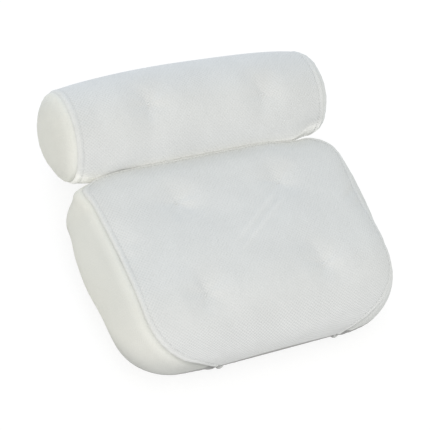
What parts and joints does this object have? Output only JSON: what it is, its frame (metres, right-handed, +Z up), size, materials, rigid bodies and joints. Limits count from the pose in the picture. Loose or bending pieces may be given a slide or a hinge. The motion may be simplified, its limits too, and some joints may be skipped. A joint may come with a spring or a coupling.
{
  "type": "bath pillow",
  "caption": "Bath pillow with a thick crowned mesh pad and a neck roll over foam, joined by a cloth hinge strip and held to the tub by suction cups under both.",
  "frame": {"origin": "under the middle of the pillow, on the surface that the suction cups stand on", "axes": "+X to the right along the roll, +Y from the pad towards the roll, +Z up from the cups to the lying side"},
  "size_m": [0.3368, 0.3392, 0.1268],
  "materials": {
    "air_mesh": "matte knitted spacer mesh",
    "backing_cloth": "matte close-knit backing",
    "foam": "open-cell foam",
    "webbing": "matte woven webbing",
    "thread": "twisted polyester thread",
    "clear_vinyl": "glossy milky soft vinyl"
  },
  "bodies": {
    "pad": {"pad_top_panel": "air_mesh", "pad_gusset_left": "air_mesh", "pad_gusset_right": "air_mesh", "pad_back_panel": "air_mesh", "pad_bottom_panel": "backing_cloth", "pad_foam_core": "foam", "pad_tie_back_left": "thread", "pad_tie_back_right": "thread", "pad_tie_front_left": "thread", "pad_tie_front_right": "thread", "cup_patch_back_left": "webbing", "cup_patch_back_right": "webbing", "cup_patch_front_left": "webbing", "cup_patch_front_right": "webbing", "hinge_strip": "webbing"},
    "roll": {"roll_tube": "air_mesh", "roll_cap_left": "air_mesh", "roll_cap_right": "air_mesh", "roll_foam_core": "foam", "roll_tie_left": "thread", "roll_tie_right": "thread", "cup_patch_roll_left": "webbing", "cup_patch_roll_right": "webbing"},
    "cup_back_left": {"suction_cup_back_left": "clear_vinyl"},
    "cup_back_right": {"suction_cup_back_right": "clear_vinyl"},
    "cup_front_left": {"suction_cup_front_left": "clear_vinyl"},
    "cup_front_right": {"suction_cup_front_right": "clear_vinyl"},
    "cup_roll_left": {"suction_cup_roll_left": "clear_vinyl"},
    "cup_roll_right": {"suction_cup_roll_right": "clear_vinyl"}
  },
  "joints": [
    {"name": "roll_fold", "type": "hinge", "parent": "pad", "child": "roll", "pos_m": [0, 0.0641, 0.0188], "axis": [1, 0, 0], "range_deg": [-80, 0], "deforming": ["hinge_strip"]},
    {"name": "cup_spin_back_left", "type": "hinge", "parent": "pad", "child": "cup_back_left", "pos_m": [-0.095, 0.0006, 0], "axis": [0, 0, 1], "continuous": true},
    {"name": "cup_spin_back_right", "type": "hinge", "parent": "pad", "child": "cup_back_right", "pos_m": [0.095, 0.0006, 0], "axis": [0, 0, 1], "continuous": true},
    {"name": "cup_spin_front_left", "type": "hinge", "parent": "pad", "child": "cup_front_left", "pos_m": [-0.095, -0.1164, 0], "axis": [0, 0, 1], "continuous": true},
    {"name": "cup_spin_front_right", "type": "hinge", "parent": "pad", "child": "cup_front_right", "pos_m": [0.095, -0.1164, 0], "axis": [0, 0, 1], "continuous": true},
    {"name": "cup_spin_roll_left", "type": "hinge", "parent": "roll", "child": "cup_roll_left", "pos_m": [-0.095, 0.1116, 0], "axis": [0, 0, 1], "continuous": true},
    {"name": "cup_spin_roll_right", "type": "hinge", "parent": "roll", "child": "cup_roll_right", "pos_m": [0.095, 0.1116, 0], "axis": [0, 0, 1], "continuous": true}
  ]
}
